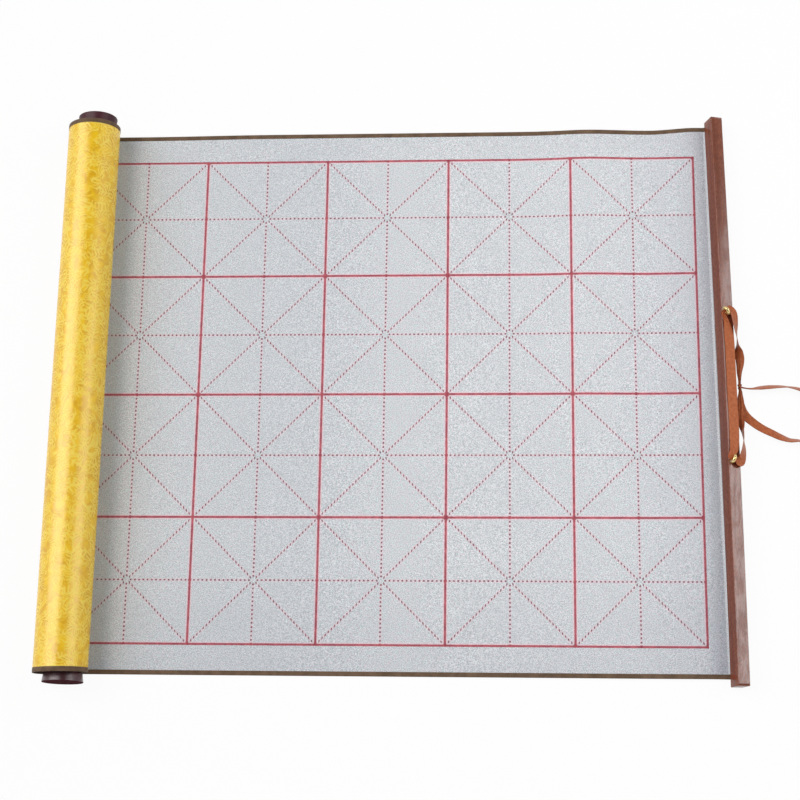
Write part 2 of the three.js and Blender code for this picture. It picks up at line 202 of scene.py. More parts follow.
class Finish:
    """A surface finish being put together: one shader and the patterns that feed it."""

    def __init__(self, name, **shader):
        self.material = bpy.data.materials.new(name)
        self.material.use_nodes = True
        self.tree = self.material.node_tree
        self.shader = self.tree.nodes["Principled BSDF"]
        self.set(self.shader, **shader)

    def feed(self, socket, value):
        if isinstance(value, bpy.types.NodeSocket):
            self.tree.links.new(value, socket)
        else:
            socket.default_value = value

    def set(self, node, **values):
        """Feeds a node's sockets by name."""
        for socket, value in values.items():
            self.feed(node.inputs[socket.replace("_", " ")], value)
        return node

    def add(self, kind, *values, **settings):
        """A new node with its settings, its first sockets fed in order."""
        node = self.tree.nodes.new(kind)
        for key, value in settings.items():
            setattr(node, key, value)
        for socket, value in zip(node.inputs, values):
            self.feed(socket, value)
        return node

    def math(self, operation, *values):
        return self.add("ShaderNodeMath", *values, operation=operation).outputs[0]

    def times(self, first, second):
        return self.math("MULTIPLY", first, second)

    def range(self, value, low, high, start=0.0, end=1.0):
        limits = (value, low, high, start, end)
        return self.add("ShaderNodeMapRange", *limits, interpolation_type="SMOOTHSTEP").outputs[0]

    def fade(self, value, low, high):
        return self.range(value, low, high, 1.0, 0.0)

    def mix(self, share, first, second, blend="MIX"):
        node = self.add("ShaderNodeMix", share, data_type="RGBA", blend_type=blend)
        self.feed(node.inputs[6], first)
        self.feed(node.inputs[7], second)
        return node.outputs[2]

    def place(self, follows_cloth=False):
        """Where a pattern lies: on the unrolled cloth, or in the room."""
        if follows_cloth:
            return self.add("ShaderNodeAttribute", attribute_name="weave_place").outputs["Vector"]
        return self.add("ShaderNodeTexCoord").outputs["Object"]

    def vector(self, operation, *values):
        node = self.add("ShaderNodeVectorMath", *values, operation=operation)
        return node.outputs["Value" if operation == "DISTANCE" else "Vector"]

    def stretched(self, place, scale):
        return self.vector("MULTIPLY", place, scale)

    def parts(self, place):
        return self.add("ShaderNodeSeparateXYZ", place).outputs[:3]

    def in_mm(self, place):
        return self.parts(self.stretched(place, (1000.0, 1000.0, 1000.0)))[:2]

    def noise(self, place, scale, detail=2.0, rough=0.5, warp=0.0, out="Fac"):
        node = self.add("ShaderNodeTexNoise")
        self.set(node, Vector=place, Scale=scale, Detail=detail, Roughness=rough, Distortion=warp)
        return node.outputs[out]

    def wave(self, place, direction, scale, warp, detail, detail_scale=1.0):
        node = self.add("ShaderNodeTexWave", bands_direction=direction)
        self.set(node, Vector=place, Scale=scale, Distortion=warp, Detail=detail, Detail_Scale=detail_scale)
        return node.outputs["Fac"]

    def colour(self, value):
        self.set(self.shader, Base_Color=value)

    def rough(self, value):
        self.set(self.shader, Roughness=value)

    def relief(self, height, depth, strength):
        node = self.set(self.add("ShaderNodeBump"), Strength=strength, Distance=depth, Height=height)
        self.set(self.shader, Normal=node.outputs[0])


def practice_print(finish, place):
    """Red ink: squares with a solid border, and dotted middle lines and diagonals inside each one.
    Returns the solid lines, the dots, and the pink that bled into the cloth beside both."""
    square = 96.0
    half = square / 2.0
    first_line_x, last_line_x, outer_line_y = -247.9, 232.1, 192.0
    line_half, line_bleed, edge_soft = 0.86, 1.7, 0.14
    dot_half, dot_long, dot_pitch, dot_bleed = 0.6, 0.68, 3.2, 0.9
    bare_middle = 1.6
    crossing_blot, crossing_soft = 1.7, 2.5
    meeting_out, meeting_half = 1.25, 0.9
    x, y = finish.in_mm(place)
    u = finish.math("FLOORED_MODULO", finish.math("SUBTRACT", x, first_line_x), square)
    v = finish.math("FLOORED_MODULO", y, square)
    ink_wave = finish.noise(finish.place(), 900.0, 1.0)
    ragged = finish.math("MULTIPLY_ADD", ink_wave, 0.5, -0.25)

    def line(distance, half_width):
        edge = finish.math("ADD", finish.math("ABSOLUTE", distance), ragged)
        return finish.fade(edge, half_width - edge_soft, half_width + edge_soft)

    def dots(along, distance):
        beat = finish.math("PINGPONG", along, dot_pitch / 2.0)
        return finish.times(line(beat, dot_long), line(distance, dot_half))

    border_u, border_v = finish.math("PINGPONG", u, half), finish.math("PINGPONG", v, half)
    mid_u, mid_v = finish.math("SUBTRACT", u, half), finish.math("SUBTRACT", v, half)
    from_middle = finish.math("MAXIMUM", finish.math("ABSOLUTE", mid_u), finish.math("ABSOLUTE", mid_v))
    slant = math.sqrt(0.5)
    slant_a = finish.times(finish.math("SUBTRACT", u, v), slant)
    slant_b = finish.times(finish.math("SUBTRACT", finish.math("ADD", u, v), square), slant)
    slant_along = finish.times(mid_u, 1.0 / slant)
    dotted = dots(mid_u, mid_v)
    for along, distance in ((mid_v, mid_u), (slant_along, slant_a), (slant_along, slant_b)):
        dotted = finish.math("MAXIMUM", dotted, dots(along, distance))
    dotted = finish.times(dotted, finish.math("GREATER_THAN", from_middle, bare_middle))

    solid = finish.math("MAXIMUM", line(border_u, line_half), line(border_v, line_half))
    from_crossing = finish.math("MULTIPLY_ADD", border_u, border_u, finish.times(border_v, border_v))
    from_crossing = finish.math("SQRT", from_crossing)
    blotted = finish.range(finish.noise(place, 31.0, 1.0), 0.36, 0.56)
    crossing = finish.times(finish.fade(from_crossing, crossing_blot, crossing_soft), blotted)
    meet_u = finish.times(line(border_u, meeting_out), line(mid_v, meeting_half))
    meet_v = finish.times(line(border_v, meeting_out), line(mid_u, meeting_half))
    meeting = finish.math("MAXIMUM", meet_u, meet_v)
    solid = finish.math("MAXIMUM", solid, finish.math("MAXIMUM", crossing, meeting))

    nearest = finish.math("MINIMUM", border_u, border_v)
    bled = finish.fade(nearest, line_half, line_half + line_bleed)
    for distance in (mid_u, mid_v, slant_a, slant_b):
        away = finish.math("ABSOLUTE", distance)
        beside_dots = finish.range(away, dot_half, dot_half + dot_bleed, 0.55, 0.0)
        beside_dots = finish.times(beside_dots, finish.range(from_middle, 2.0, 4.0))
        bled = finish.math("MAXIMUM", bled, beside_dots)
    inside_x = finish.math("LESS_THAN", x, last_line_x + line_half)
    inside_y = finish.math("LESS_THAN", finish.math("ABSOLUTE", y), outer_line_y + line_half)
    inside = finish.times(inside_x, inside_y)
    return [finish.times(ink, inside) for ink in (solid, dotted, bled)]


def writing_cloth_finish(name, follows_cloth, printed=True):
    """Grey cloth with fine specks and faint clouds; the print is on it, and painted shade greys its
    margins, beside the roll and by the stay.
    """
    finish = Finish(name, Roughness=0.85, Specular_IOR_Level=0.2)
    place = finish.place(follows_cloth)
    specks = finish.noise(place, 1500.0, 1.0, 0.6)
    flecks = finish.noise(finish.stretched(place, (0.8, 1.0, 1.0)), 2300.0, 0.0)
    hue = finish.noise(place, 1150.0, 1.0)
    clouds = finish.noise(place, 38.0, 3.0, 0.55)
    tone = finish.times(finish.range(specks, 0.37, 0.63), 0.6)
    tone = finish.math("MULTIPLY_ADD", finish.range(flecks, 0.34, 0.66), 0.4, tone)
    grey = finish.mix(tone, tint(176, 181, 185), tint(255, 255, 255))
    cast = finish.mix(finish.range(hue, 0.36, 0.64), tint(255, 246, 252), tint(244, 255, 255))
    grey = finish.mix(1.0, grey, cast, "MULTIPLY")
    grey = finish.mix(finish.range(clouds, 0.3, 0.72, 0.0, 0.25), grey, tint(206, 210, 214))
    if printed:
        solid, dotted, bled = practice_print(finish, place)
        worn = finish.noise(place, 240.0, 3.0, 0.6)
        red = finish.mix(finish.range(worn, 0.32, 0.68), tint(158, 66, 80), tint(196, 94, 104))
        dot_red = finish.mix(finish.range(worn, 0.3, 0.7), tint(106, 44, 60), tint(144, 66, 82))
        grey = finish.mix(finish.times(bled, 0.5), grey, tint(255, 207, 217))
        grey = finish.mix(finish.times(dotted, 0.92), grey, dot_red)
        grey = finish.mix(finish.times(solid, 0.94), grey, red)
        x, y = finish.in_mm(place)
        # Painted shade: the cloth is tinted greyer over its left half, at its near edge and right end, and
        # most beside the roll and by the stay.
        for shade_share, shade_tint in (
            (finish.fade(x, -70.0, 10.0), tint(248, 249, 250)),
            (finish.fade(x, -216.0, -204.0), tint(238, 243, 250)),
            (finish.range(x, 165.0, 240.0), tint(242, 242, 244)),
            (finish.range(x, 228.0, 246.0), tint(236, 238, 242)),
            (finish.fade(y, -215.0, -115.0), tint(247, 247, 248)),
        ):
            grey = finish.mix(shade_share, grey, shade_tint, "MULTIPLY")
    finish.colour(grey)
    finish.rough(finish.range(specks, 0.2, 0.8, 0.76, 0.92))
    finish.relief(tone, 0.00012, 0.3)
    return finish.material


fine_from = stay_x - rise_run - 110.0
flat_stations = np.concatenate(
    [np.linspace(roll_x, fine_from, 70)[:-1], np.linspace(fine_from, stay_x - stay_seam, 62)]
)
flat_divisions, turn_divisions = 90, 60

flat_section = sheet_section(cloth_under, cloth_over, flat_divisions)
writing_cloth = woven_piece("writing_cloth", flat_loops(flat_section, flat_stations))
writing_cloth.data.materials.append(writing_cloth_finish("printed_cloth", False))
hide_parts("writing_cloth_flat")
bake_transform(writing_cloth)

turn_section = sheet_section(cloth_under, cloth_over, turn_divisions)
cloth_turn = woven_piece("writing_cloth_round_roll", outer_turn_loops(turn_section, 96))
cloth_turn.data.materials.append(writing_cloth_finish("printed_cloth_rolled", True))
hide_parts("writing_cloth_turn")
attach(cloth_turn, "outer_turn")

# Brocade back: gold satin woven with veined leaves and thin stems, glued behind the writing cloth.
# It shows on the outside of the roll and under the flat run.
brocade_under, brocade_over = 0.13, 0.33


def brocade_finish(name, follows_cloth):
    finish = Finish(name, IOR=1.58, Specular_IOR_Level=0.95, Specular_Tint=(1.0, 0.97, 0.68, 1.0))
    place = finish.place(follows_cloth)
    drift = finish.noise(place, 75.0, 1.0, out="Color")
    drifted = finish.vector("MULTIPLY_ADD", drift, (0.01, 0.01, 0.0), place)
    flat_place = finish.stretched(drifted, (1.0, 1.0, 0.0))

    leaf_cells, vein_pitch, vein_lean = 125.0, 2.8, 0.7
    cells = finish.add("ShaderNodeTexVoronoi", feature="F1", voronoi_dimensions="2D")
    finish.set(cells, Vector=flat_place, Scale=leaf_cells, Randomness=0.95)
    dx, dy = finish.in_mm(finish.vector("SUBTRACT", flat_place, cells.outputs["Position"]))
    reach = finish.times(cells.outputs["Distance"], 1000.0 / leaf_cells)
    lie, start, chosen = finish.parts(cells.outputs["Color"])
    turn = finish.times(lie, 2.0 * math.pi)
    cosine, sine = finish.math("COSINE", turn), finish.math("SINE", turn)
    along = finish.math("MULTIPLY_ADD", dx, cosine, finish.times(dy, sine))
    across = finish.math("SUBTRACT", finish.times(dy, cosine), finish.times(dx, sine))
    aside = finish.math("ABSOLUTE", across)
    vein_row = finish.math("MULTIPLY_ADD", aside, vein_lean, along)
    vein_row = finish.math("MULTIPLY_ADD", vein_row, 1.0 / vein_pitch, start)
    veins = finish.range(finish.math("PINGPONG", vein_row, 0.5), 0.14, 0.46)
    veins = finish.math("MAXIMUM", veins, finish.fade(aside, 0.15, 0.75))
    veins = finish.times(veins, finish.fade(reach, 3.0, 4.6))
    veins = finish.times(veins, finish.range(chosen, 0.2, 0.3))

    stem_field = finish.noise(flat_place, 100.0, 1.0, 0.5, 0.9)
    stems = finish.math("PINGPONG", finish.times(stem_field, 6.0), 0.5)
    stems = finish.times(finish.fade(stems, 0.03, 0.24), finish.range(reach, 2.8, 4.2))
    scroll = finish.math("MAXIMUM", veins, stems)

    leaf_field = finish.noise(finish.stretched(flat_place, (1.0, 0.75, 1.0)), 130.0, 1.0, 0.5, 0.9)
    leaves = finish.times(finish.range(leaf_field, 0.55, 0.63), finish.math("SUBTRACT", 1.0, scroll))
    broad = finish.range(finish.noise(place, 120.0, 3.0, 0.6), 0.38, 0.62)
    threads = finish.noise(finish.stretched(place, (0.22, 1.0, 1.0)), 2600.0, 1.0)
    gold = finish.mix(broad, tint(240, 187, 4), tint(253, 205, 16))
    gold = finish.mix(finish.times(leaves, 0.7), gold, tint(228, 170, 2))
    gold = finish.mix(finish.times(scroll, 0.85), gold, tint(255, 227, 90))
    gold = finish.mix(finish.range(threads, 0.3, 0.7, 0.0, 0.16), gold, tint(224, 168, 10))
    finish.colour(gold)
    finish.rough(finish.range(scroll, 0.0, 1.0, 0.27, 0.44))
    height = finish.math("MULTIPLY_ADD", leaves, -0.8, finish.math("MULTIPLY_ADD", threads, 0.25, scroll))
    finish.relief(height, 0.0001, 0.3)
    return finish.material


flat_section = sheet_section(brocade_under, brocade_over, flat_divisions)
brocade = woven_piece("brocade_back", flat_loops(flat_section, flat_stations))
brocade.data.materials.append(brocade_finish("brocade_flat_gold", False))
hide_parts("brocade_flat")
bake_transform(brocade)

turn_section = sheet_section(brocade_under, brocade_over, turn_divisions)
brocade_turn = woven_piece("brocade_round_roll", outer_turn_loops(turn_section, 144))
rolled_gold = brocade_finish("brocade_rolled_gold", True)
brocade_turn.data.materials.append(rolled_gold)
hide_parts("brocade_turn")
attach(brocade_turn, "outer_turn")

# Wound turns: the rest of the cloth, both layers together, wound tight on the dowel.
# The brocade is outside and the writing face inside on every turn.
roller_x, roller_z = -239.039, 19.3
wound_radius, wound_pitch, wound_turns = 16.55, 1.15, 4.8
wound_divisions, wound_steps = 12, 290


def finish_faces(piece, which):
    """Gives each face the piece's finish of that number."""
    piece.data.polygons.foreach_set("material_index", which.astype(np.int32))


def wound_loops(section):
    centre = (roller_x, roller_z)
    return turn_loops(section, centre, wound_radius, wound_pitch, wound_turns, wound_steps)


wound_section = sheet_section(brocade_under, cloth_over, wound_divisions)
wound_cloth = woven_piece("wound_turns", wound_loops(wound_section))
wound_cloth.data.materials.append(rolled_gold)
wound_cloth.data.materials.append(cloth_turn.data.materials[0])
face_of_section = np.arange(len(wound_cloth.data.polygons)) % len(wound_section)
finish_faces(wound_cloth, face_of_section > wound_divisions)
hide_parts("wound_cloth")
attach(wound_cloth, "roller")

# Edge tapes: thin brown woven tape folded round both long edges, narrow in front, wider behind.
# They are glued on and follow the cloth into the roll.
tape_front, tape_back = 3.5, 3.6
tape_thick, tape_fold = 0.1, 0.365


def tape_section(side):
    front_edge, back_edge = cloth_edge - tape_front, cloth_edge - tape_back
    front_crease, back_crease = cloth_edge - 1.6, cloth_edge - 2.0
    over = 2.0 * tape_fold
    bend = np.radians(np.linspace(-90.0, 90.0, 9))

    def fold(radius, angles):
        middle = cloth_edge - tape_fold
        return [(middle + radius * math.cos(a), tape_fold + radius * math.sin(a)) for a in angles]

    points = [(back_edge, 0.0), (back_crease, 0.0), *fold(tape_fold, bend)]
    points += [(front_crease, over), (front_edge, over)]
    points += [(front_edge, over - tape_thick), (front_crease, over - tape_thick)]
    points += fold(tape_fold - tape_thick, bend[::-1])
    points += [(back_crease, tape_thick), (back_edge, tape_thick)]
    return points if side > 0 else [(-y, n) for y, n in points][::-1]


def tape_finish():
    finish = Finish("brown_tape", Specular_IOR_Level=0.3, Sheen_Weight=0.1)
    place = finish.place(follows_cloth=True)
    rib = finish.wave(finish.stretched(place, (1.0, 1.6, 0.0)), "DIAGONAL", 420.0, 1.2, 1.0)
    blotch = finish.noise(place, 130.0, 3.0, 0.6)
    brown = finish.mix(finish.range(blotch, 0.3, 0.7), tint(96, 75, 56), tint(124, 99, 78))
    brown = finish.mix(finish.times(rib, 0.35), brown, tint(78, 59, 43))
    finish.colour(brown)
    finish.rough(finish.range(blotch, 0.3, 0.7, 0.7, 0.85))
    finish.relief(rib, 0.00012, 0.5)
    return finish.material


brown_tape = tape_finish()
flat_tapes, turn_tapes, wound_tapes = [], [], []
for name, side in (("far", 1), ("near", -1)):
    section = tape_section(side)
    for stretch, ending, loops, tapes in (
        ("flat", "", flat_loops(section, flat_stations), flat_tapes),
        ("turn", "_round_roll", outer_turn_loops(section, 144), turn_tapes),
        ("wound", "_wound", wound_loops(section), wound_tapes),
    ):
        tape = woven_piece(name + "_edge_tape" + ending, loops, 60.0)
        tape.data.materials.append(brown_tape)
        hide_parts(name + "_tape_" + stretch)
        tapes.append(tape)
    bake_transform(flat_tapes[-1])
    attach(turn_tapes[-1], "outer_turn")
    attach(wound_tapes[-1], "roller")

# Roller dowel: a plain turned stick of pale wood inside the roll, with a socket in each end.
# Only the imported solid's ends could ever show, so it keeps that shape and gets a grained finish.
def dowel_finish():
    finish = Finish("dowel_wood", Specular_IOR_Level=0.3)
    place = finish.place()
    grain = finish.noise(finish.stretched(place, (1.0, 0.05, 1.0)), 700.0, 4.0, 0.6, 0.4)
    rings = finish.noise(finish.stretched(place, (1.0, 0.02, 1.0)), 160.0, 2.0, 0.5, 0.8)
    wood = finish.mix(finish.range(rings, 0.35, 0.65), tint(214, 182, 132), tint(190, 152, 102))
    wood = finish.mix(finish.range(grain, 0.45, 0.75, 0.0, 0.5), wood, tint(150, 112, 70))
    finish.colour(wood)
    finish.rough(finish.range(grain, 0.3, 0.7, 0.55, 0.75))
    finish.relief(grain, 0.0002, 0.4)
    return finish.material


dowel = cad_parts["roller_dowel"]
dowel.data.materials.clear()
dowel.data.materials.append(dowel_finish())

# Knobs: turned end caps, lacquered dark plum brown, each with a peg glued in the dowel.
# The side flares a little to a rounded rim, and the end has one shallow turned step.
# The near knob's lacquer is glossy; the far knob has a duller, slightly lighter copy of it, which is
# painted shade that takes the reflections off it.
knob_seat = 215.6
knob_sides = 96
knob_profile = [
    (0.0, -22.0), (4.3, -22.0), (5.0, -21.2), (5.0, -0.2), (5.4, 0.0), (13.6, 0.0), (14.05, 0.12),
    (14.22, 0.5), (14.4, 1.8), (14.75, 4.0), (15.05, 5.9), (15.2, 6.9), (15.19, 7.12), (15.08, 7.36),
    (14.86, 7.53), (14.56, 7.6), (13.9, 7.6), (12.9, 7.6), (12.5, 7.52), (12.25, 7.3), (12.0, 7.12),
    (11.6, 7.06), (8.0, 7.2), (4.0, 7.3), (0.0, 7.34),
]
first_end_band = 12


def circle(steps):
    return np.linspace(0.0, 2.0 * math.pi, steps, endpoint=False)


def turned_knob(name, side):
    """The profile of (radius, along) points turned round the roller's axis."""
    least_radius = 0.02
    angle = circle(knob_sides) * -side
    loops = []
    for radius, along in knob_profile:
        r = max(radius, least_radius)
        y = np.full(knob_sides, side * knob_seat + side * along)
        loops.append(np.stack([roller_x + r * np.cos(angle), y, roller_z + r * np.sin(angle)], axis=1))
    return joined_loops(name, np.array(loops), None, 50.0)


def knob_finish(name, gloss, dark, light):
    finish = Finish(
        name, Specular_IOR_Level=0.5 * gloss, Coat_Weight=0.7 * gloss, Coat_Roughness=0.26, Coat_IOR=1.5,
    )
    place = finish.place()
    smoke = finish.noise(place, 120.0, 3.0, 0.55)
    turning = finish.noise(finish.stretched(place, (0.15, 1.0, 0.15)), 1500.0, 2.0)
    plum = finish.mix(finish.range(smoke, 0.3, 0.7), dark, light)
    plum = finish.mix(finish.range(turning, 0.4, 0.8, 0.0, 0.3), plum, tint(46, 18, 22))
    finish.colour(plum)
    finish.rough(finish.range(smoke, 0.2, 0.8, 0.66 - 0.34 * gloss, 0.78 - 0.34 * gloss))
    finish.relief(turning, 0.00004, 0.25)
    return finish.material


plum_side = knob_finish("plum_lacquer", 1.0, tint(60, 24, 32), tint(80, 36, 44))
# Painted shade: the far knob's lacquer is a duller copy of the near one, so it shows almost no reflection.
shaded_plum_side = knob_finish("shaded_plum_lacquer", 0.35, tint(64, 28, 38), tint(84, 42, 50))
# Painted light: the end faces are a lighter plum than the side and have no gloss, to make up for the shade
# they lie in.
painted_light_plum_end = knob_finish("plum_end_painted_light", 0.0, tint(80, 44, 50), tint(94, 56, 60))
for name, side, lacquer in (("far_knob", 1, shaded_plum_side), ("near_knob", -1, plum_side)):
    knob = turned_knob(name + "_turned", side)
    knob.data.materials.append(lacquer)
    knob.data.materials.append(painted_light_plum_end)
    band = np.arange(len(knob.data.polygons)) // knob_sides
    finish_faces(knob, band >= first_end_band)
    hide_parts(name)
    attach(knob, "roller")

# End tab: the last of the cloth and brocade, glued under the stay, which it carries like a hinge.
# It bends along the stay's lower inner edge, so it is one strip from the flat run to the stay.
stay_z = 3.021
stay_lean = math.radians(17.5)
hinge_line = Vector((stay_x, 0.0, stay_z))
stay_frame = (
    Matrix.Translation(hinge_line) @ Matrix.Rotation(stay_skew, 4, "Z") @ Matrix.Rotation(stay_lean, 4, "Y")
)
stay_axes = np.array(stay_frame.to_3x3())
stay_origin = np.array([stay_x, 0.0, stay_z])


def from_stay(points):
    """Points in the stay's own frame, moved to the table's frame."""
    return np.asarray(points, float) @ stay_axes.T + stay_origin


tab_reach, tab_half, tape_gap = 9.3, 0.235, 0.1
tape_inner = cloth_edge - tape_front
tab_steps = np.concatenate([np.linspace(-stay_seam, 0.0, 5)[:-1], np.linspace(0.0, tab_reach, 12)])
tab_across = np.linspace(-tape_inner + tape_gap, tape_inner - tape_gap, 61)
tape_across = np.array([tape_inner, cloth_edge])
tab_across = np.concatenate([-tape_across[::-1], tab_across, tape_across])
tab_depth = np.where(np.abs(tab_across) > tape_inner - 0.5 * tape_gap, tape_fold, tab_half)
tab_section = np.concatenate(
    [np.stack([tab_across, -tab_depth], axis=1), np.stack([tab_across, tab_depth], axis=1)[::-1]]
)
y, depth = tab_section.T
tab_rows = []
for along in tab_steps:
    if along < 0.0:
        x = stay_x + along + 0.0 * y
        height = cloth_height(x, y) + tape_fold + depth
        row = np.stack([skewed(x, y), drawn(x, y), height], axis=1)
    else:
        row = from_stay(np.stack([along + 0.0 * y, drawn(stay_x, y), depth], axis=1))
    tab_rows.append(row)
end_tab = woven_piece("glued_end_tab", np.array(tab_rows))
end_tab.data.materials.append(writing_cloth_finish("plain_cloth_tab", True, printed=False))
end_tab.data.materials.append(rolled_gold)
end_tab.data.materials.append(brown_tape)
tab_size = len(tab_section)
tab_look = (np.arange(tab_size) < len(tab_across)).astype(int)
tab_out = np.abs(tab_section[:, 0])
tab_look[np.minimum(tab_out, np.roll(tab_out, -1)) > tape_inner - 1.5 * tape_gap] = 2
finish_faces(end_tab, tab_look[np.arange(len(end_tab.data.polygons)) % tab_size])
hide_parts("end_tab")
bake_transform(end_tab)

# Stay: a planed strip of reddish wood, stained and thinly varnished, glued on the tab.
# Its edges are eased by hand, and the varnish on its inner side is rubbed thin.
bar_width, bar_half_length = 9.3, 221.0
bar_floor, bar_top = 0.535, 13.835
bar_ease = 0.45


def rounded_bar_section(inset):
    corners = [
        (bar_width - inset, bar_floor + inset, -90.0), (bar_width - inset, bar_top - inset, 0.0),
        (inset, bar_top - inset, 90.0), (inset, bar_floor + inset, 180.0),
    ]
    points = []
    for x, z, start in corners:
        cx = x - bar_ease if x > bar_width / 2.0 else x + bar_ease
        cz = z - bar_ease if z > bar_top / 2.0 else z + bar_ease
        for a in np.radians(np.linspace(start, start + 90.0, 5)):
            points.append((cx + bar_ease * math.cos(a), cz + bar_ease * math.sin(a)))
    return np.array(points)


rounded_end = [(-1.0, 0.45), (-0.9993, 0.16), (-0.998, 0.0)]
bar_stations = rounded_end + [(t, 0.0) for t in np.linspace(-0.99, 0.99, 100)]
bar_stations += [(-t, inset) for t, inset in rounded_end[::-1]]
plane_slip, waver_most = 0.012, 0.07
bow, near_bend = 0.45, 0.6
planing = np.random.default_rng(7)
waver = np.cumsum(planing.normal(0.0, plane_slip, (len(bar_stations), 2)), axis=0)
waver = np.clip(waver - waver.mean(axis=0), -waver_most, waver_most)
bar_rows = []
for (t, inset), (lift, push) in zip(bar_stations, waver):
    x, z = rounded_bar_section(inset).T
    push = push + bow * (1.0 - 2.0 * t * t) + near_bend * min(t, 0.0)
    y = np.full(len(x), t * bar_half_length)
    bar_rows.append(from_stay(np.stack([x + push, y, z + lift * (z > bar_top / 2.0)], axis=1)))
stay_strip = joined_loops("stay_strip", np.array(bar_rows)[::-1], None, 50.0)


def stay_finish(name, varnish):
    finish = Finish(name, Specular_IOR_Level=0.2, Coat_IOR=1.88, Coat_Roughness=0.15)
    place = finish.place()
    grain = finish.noise(finish.stretched(place, (1.0, 0.3, 1.0)), 1300.0, 4.0, 0.66, 0.4)
    bands = finish.noise(finish.stretched(place, (1.0, 0.04, 1.0)), 260.0, 3.0, 0.55, 0.6)
    pores = finish.noise(finish.stretched(place, (1.0, 0.4, 1.0)), 2000.0, 2.0, 0.5)
    wood = finish.mix(finish.range(bands, 0.32, 0.68), tint(120, 60, 38), tint(140, 76, 52))
    wood = finish.mix(finish.range(grain, 0.42, 0.66, 0.0, 0.7), wood, tint(92, 44, 28))
    wood = finish.mix(finish.range(pores, 0.56, 0.72, 0.0, 0.5), wood, tint(76, 38, 26))
    pin_hole, red_rub = (0.25333, -0.20312, 0.01584), (0.25019, -0.21393, 0.00956)
    for spot, radius, colour in (
        (pin_hole, 0.0008, tint(44, 24, 20)), (red_rub, 0.0024, tint(136, 44, 30)),
    ):
        away = finish.vector("DISTANCE", place, spot)
        wood = finish.mix(finish.range(away, radius * 0.55, radius, 0.85, 0.0), wood, colour)
    finish.colour(wood)
    finish.rough(finish.range(grain, 0.3, 0.7, 0.5, 0.65))
    streaks = finish.noise(finish.stretched(place, (1.0, 0.2, 1.0)), 330.0, 4.0, 0.7, 0.5)
    coat = finish.range(streaks, 0.4, 0.62, 1.11 * varnish, 0.6 * varnish)
    finish.set(finish.shader, Coat_Weight=coat)
    finish.relief(finish.math("MULTIPLY_ADD", pores, -0.6, grain), 0.00014, 0.4)
    return finish.material


stay_strip.data.materials.append(stay_finish("varnished_stay", 0.9))
stay_strip.data.materials.append(stay_finish("rubbed_stay_side", 0.3))
stay_sides = np.zeros(3 * len(stay_strip.data.polygons), np.float32)
stay_strip.data.polygons.foreach_get("normal", stay_sides)
finish_faces(stay_strip, stay_sides.reshape(-1, 3) @ stay_axes[:, 0] < -0.7)
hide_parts("stay_bar")
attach(stay_strip, "stay")

# Screw eyes: bright brass wire, bent to a ring at the top and screwed into the stay's top face.
# The ring's end stops just short of the shank.
far_y, near_y = 60.5, -54.5
far_turn, near_turn = 33.0, -20.0
eye_inset, eye_depth = 2.4, 8.0
eye_ring, eye_wire, eye_shank = 2.45, 1.25, 0.8
eye_centre = 17.435
ring_from, ring_to = -78.0, 252.0
screw_point, ring_end = [0.12, 0.35, 0.6], [0.7, 0.35]


def unit(ways):
    return ways / np.linalg.norm(ways, axis=-1, keepdims=True)


def tube_loops(path, radii, sides):
    """A round wire along a path, with the radius given at each point."""
    path = np.asarray(path, float)
    angle = circle(sides)[:, None]
    reference = np.array([0.31, 0.87, 0.38])
    loops = []
    for point, way, radius in zip(path, unit(np.gradient(path, axis=0)), radii):
        across = unit(np.cross(way, reference))
        reference = np.cross(across, way)
        loops.append(point + radius * (np.cos(angle) * across + np.sin(angle) * reference))
    return np.array(loops)


def brass_finish():
    finish = Finish("bright_brass", Metallic=1.0)
    place = finish.place()
    tarnish = finish.noise(place, 650.0, 3.0, 0.6)
    draw_marks = finish.noise(place, 2600.0, 1.0)
    brass = finish.mix(finish.range(tarnish, 0.4, 0.75), tint(240, 218, 158), tint(206, 176, 104))
    finish.colour(brass)
    finish.rough(finish.range(tarnish, 0.3, 0.75, 0.2, 0.38))
    finish.relief(draw_marks, 0.00003, 0.3)
    return finish.material


bright_brass = brass_finish()
for name, y, turn in (("far_eye", far_y, far_turn), ("near_eye", near_y, near_turn)):
    turn = math.radians(turn)
    in_plane = np.array([-math.sin(turn), math.cos(turn), 0.0])
    shank = np.linspace(bar_top - eye_depth, eye_centre - eye_ring - 0.75, 14)
    wire = [np.array([eye_inset, y, z]) for z in shank]
    radii = screw_point + [eye_shank] * (len(shank) - len(screw_point))
    for step in np.radians(np.linspace(ring_from, ring_to, 60)):
        height = eye_centre + eye_ring * math.sin(step)
        wire.append(np.array([eye_inset, y, height]) + eye_ring * math.cos(step) * in_plane)
        radii.append(eye_wire)
    radii[-2:] = ring_end
    eye = joined_loops(name + "_screw", from_stay(tube_loops(wire, radii, 24)), None, 60.0)
    eye.data.materials.append(bright_brass)
    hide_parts(name)
    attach(eye, "stay")

# Ribbon: narrow orange-brown satin, laid along the stay between the eyes and gathered through both.
# Its two ends come back along the outer side to a small tight knot, and the tails lie on the table.
ribbon_width, ribbon_thick = 7.8, 0.42
ribbon_bed = 14.385
knot_place = (15.8, 4.9, 6.0)


